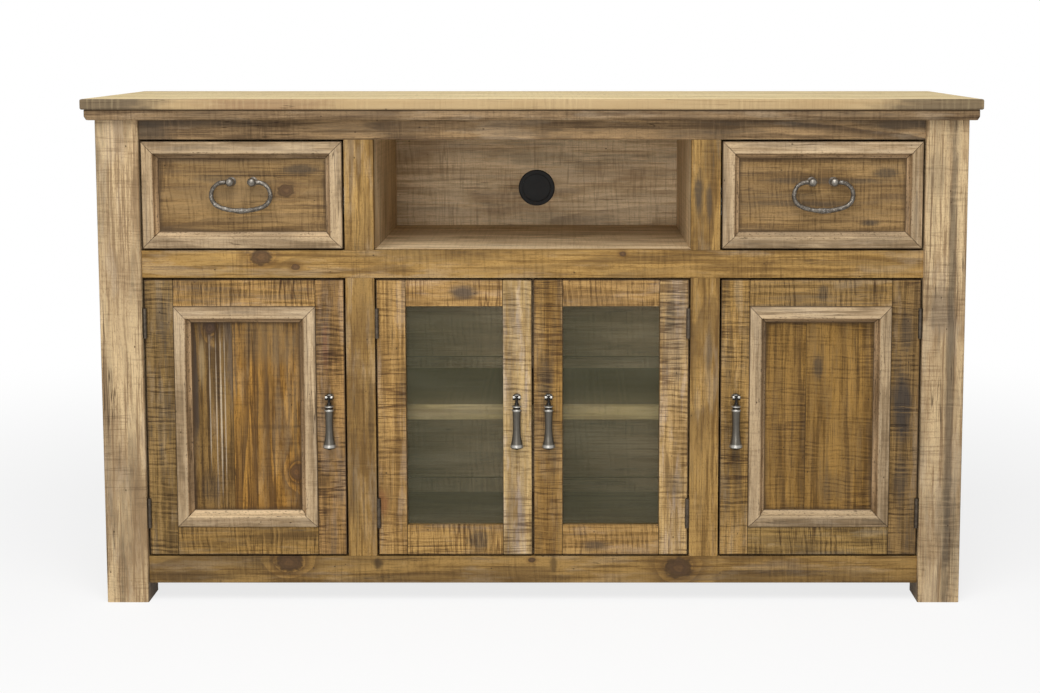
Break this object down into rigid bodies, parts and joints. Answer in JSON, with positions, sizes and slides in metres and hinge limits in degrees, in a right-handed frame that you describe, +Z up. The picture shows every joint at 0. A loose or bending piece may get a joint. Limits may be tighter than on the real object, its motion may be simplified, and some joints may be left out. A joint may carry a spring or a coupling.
{
  "type": "tv stand",
  "caption": "Rustic pine tv stand: open niche between drawers on metal slides, panelled side doors, glass centre doors, drop pulls and bails.",
  "frame": {"origin": "on the floor, under the middle of the top's outline", "axes": "+X to the right along the width, -Y to the front, +Z up"},
  "size_m": [1.524, 0.457, 0.878],
  "materials": {
    "pale_pine": "whitewashed and waxed, worn",
    "honey_pine": "waxed, distressed",
    "brown_pine": "waxed, distressed",
    "grey_pine": "dark wax, matt",
    "black_plastic": "fine texture",
    "brown_plastic": "smooth",
    "steel": "zinc plated",
    "pewter": "antique pewter, rubbed",
    "glass": "clear, lightly tinted"
  },
  "bodies": {
    "cabinet": {"top_board": "pale_pine", "top_underlay": "pale_pine", "front_posts": "pale_pine", "rear_posts": "pale_pine", "top_rail": "honey_pine", "middle_rail": "honey_pine", "bottom_rail": "honey_pine", "face_stiles": "honey_pine", "side_rails": "honey_pine", "side_panels": "honey_pine", "partitions": "grey_pine", "niche_floor": "grey_pine", "cabinet_floor": "grey_pine", "back_boards": "grey_pine", "grommet_liner": "black_plastic", "shelves": "grey_pine", "shelf_pins": "steel", "slide_cleats": "grey_pine", "slide_cabinet_members": "steel", "frame_hinges": "pewter", "door_catches": "brown_plastic"},
    "grommet_cap": {"grommet_cap": "black_plastic"},
    "left_drawer": {"left_drawer_front": "brown_pine", "left_drawer_moulding": "pale_pine", "left_drawer_box": "pale_pine", "left_slide_drawer_members": "steel", "left_bail_posts": "pewter"},
    "left_slides": {"left_slide_middle_members": "steel"},
    "left_bail": {"left_bail": "pewter"},
    "left_door": {"left_door_frame": "honey_pine", "left_door_panel": "brown_pine", "left_door_moulding": "pale_pine", "left_door_hinges": "pewter", "left_door_pull_post": "pewter"},
    "left_glass_door": {"left_glass_frame": "honey_pine", "left_glass": "glass", "left_glass_beads": "honey_pine", "left_glass_hinges": "pewter", "left_glass_pull_post": "pewter"},
    "left_door_drop": {"left_door_pull": "pewter"},
    "left_glass_drop": {"left_glass_pull": "pewter"},
    "right_drawer": {"right_drawer_front": "brown_pine", "right_drawer_moulding": "pale_pine", "right_drawer_box": "pale_pine", "right_slide_drawer_members": "steel", "right_bail_posts": "pewter"},
    "right_slides": {"right_slide_middle_members": "steel"},
    "right_bail": {"right_bail": "pewter"},
    "right_door": {"right_door_frame": "honey_pine", "right_door_panel": "brown_pine", "right_door_moulding": "pale_pine", "right_door_hinges": "pewter", "right_door_pull_post": "pewter"},
    "right_glass_door": {"right_glass_frame": "honey_pine", "right_glass": "glass", "right_glass_beads": "honey_pine", "right_glass_hinges": "pewter", "right_glass_pull_post": "pewter"},
    "right_door_drop": {"right_door_pull": "pewter"},
    "right_glass_drop": {"right_glass_pull": "pewter"}
  },
  "joints": [
    {"name": "left_drawer_slide", "type": "slide", "parent": "cabinet", "child": "left_drawer", "axis": [0, -1, 0], "range_m": [0, 0.34]},
    {"name": "left_middle_slide", "type": "slide", "parent": "cabinet", "child": "left_slides", "axis": [0, -1, 0], "range_m": [0, 0.17]},
    {"name": "left_bail_pivot", "type": "hinge", "parent": "left_drawer", "child": "left_bail", "pos_m": [-0.4965, -0.2105, 0.736], "axis": [-1, 0, 0], "range_deg": [0, 90]},
    {"name": "left_door_hinge", "type": "hinge", "parent": "cabinet", "child": "left_door", "pos_m": [-0.667, -0.2034, 0.325], "axis": [0, 0, -1], "range_deg": [0, 105]},
    {"name": "left_glass_door_hinge", "type": "hinge", "parent": "cabinet", "child": "left_glass_door", "pos_m": [-0.268, -0.2034, 0.325], "axis": [0, 0, -1], "range_deg": [0, 105]},
    {"name": "left_door_drop_pivot", "type": "hinge", "parent": "left_door", "child": "left_door_drop", "pos_m": [-0.351, -0.2123, 0.364], "axis": [-1, 0, 0], "range_deg": [0, 80]},
    {"name": "left_glass_drop_pivot", "type": "hinge", "parent": "left_glass_door", "child": "left_glass_drop", "pos_m": [-0.0275, -0.2123, 0.364], "axis": [-1, 0, 0], "range_deg": [0, 80]},
    {"name": "right_drawer_slide", "type": "slide", "parent": "cabinet", "child": "right_drawer", "axis": [0, -1, 0], "range_m": [0, 0.34]},
    {"name": "right_middle_slide", "type": "slide", "parent": "cabinet", "child": "right_slides", "axis": [0, -1, 0], "range_m": [0, 0.17]},
    {"name": "right_bail_pivot", "type": "hinge", "parent": "right_drawer", "child": "right_bail", "pos_m": [0.4965, -0.2105, 0.736], "axis": [-1, 0, 0], "range_deg": [0, 90]},
    {"name": "right_door_hinge", "type": "hinge", "parent": "cabinet", "child": "right_door", "pos_m": [0.667, -0.2034, 0.325], "axis": [0, 0, 1], "range_deg": [0, 105]},
    {"name": "right_glass_door_hinge", "type": "hinge", "parent": "cabinet", "child": "right_glass_door", "pos_m": [0.268, -0.2034, 0.325], "axis": [0, 0, 1], "range_deg": [0, 105]},
    {"name": "right_door_drop_pivot", "type": "hinge", "parent": "right_door", "child": "right_door_drop", "pos_m": [0.351, -0.2123, 0.364], "axis": [-1, 0, 0], "range_deg": [0, 80]},
    {"name": "right_glass_drop_pivot", "type": "hinge", "parent": "right_glass_door", "child": "right_glass_drop", "pos_m": [0.0275, -0.2123, 0.364], "axis": [-1, 0, 0], "range_deg": [0, 80]},
    {"name": "grommet_turn", "type": "hinge", "parent": "cabinet", "child": "grommet_cap", "pos_m": [0, 0.2155, 0.691], "axis": [0, -1, 0], "continuous": true}
  ],
  "couplings": [
    {"joint": "left_middle_slide", "follows": "left_drawer_slide", "ratio": 0.5},
    {"joint": "right_middle_slide", "follows": "right_drawer_slide", "ratio": 0.5}
  ]
}
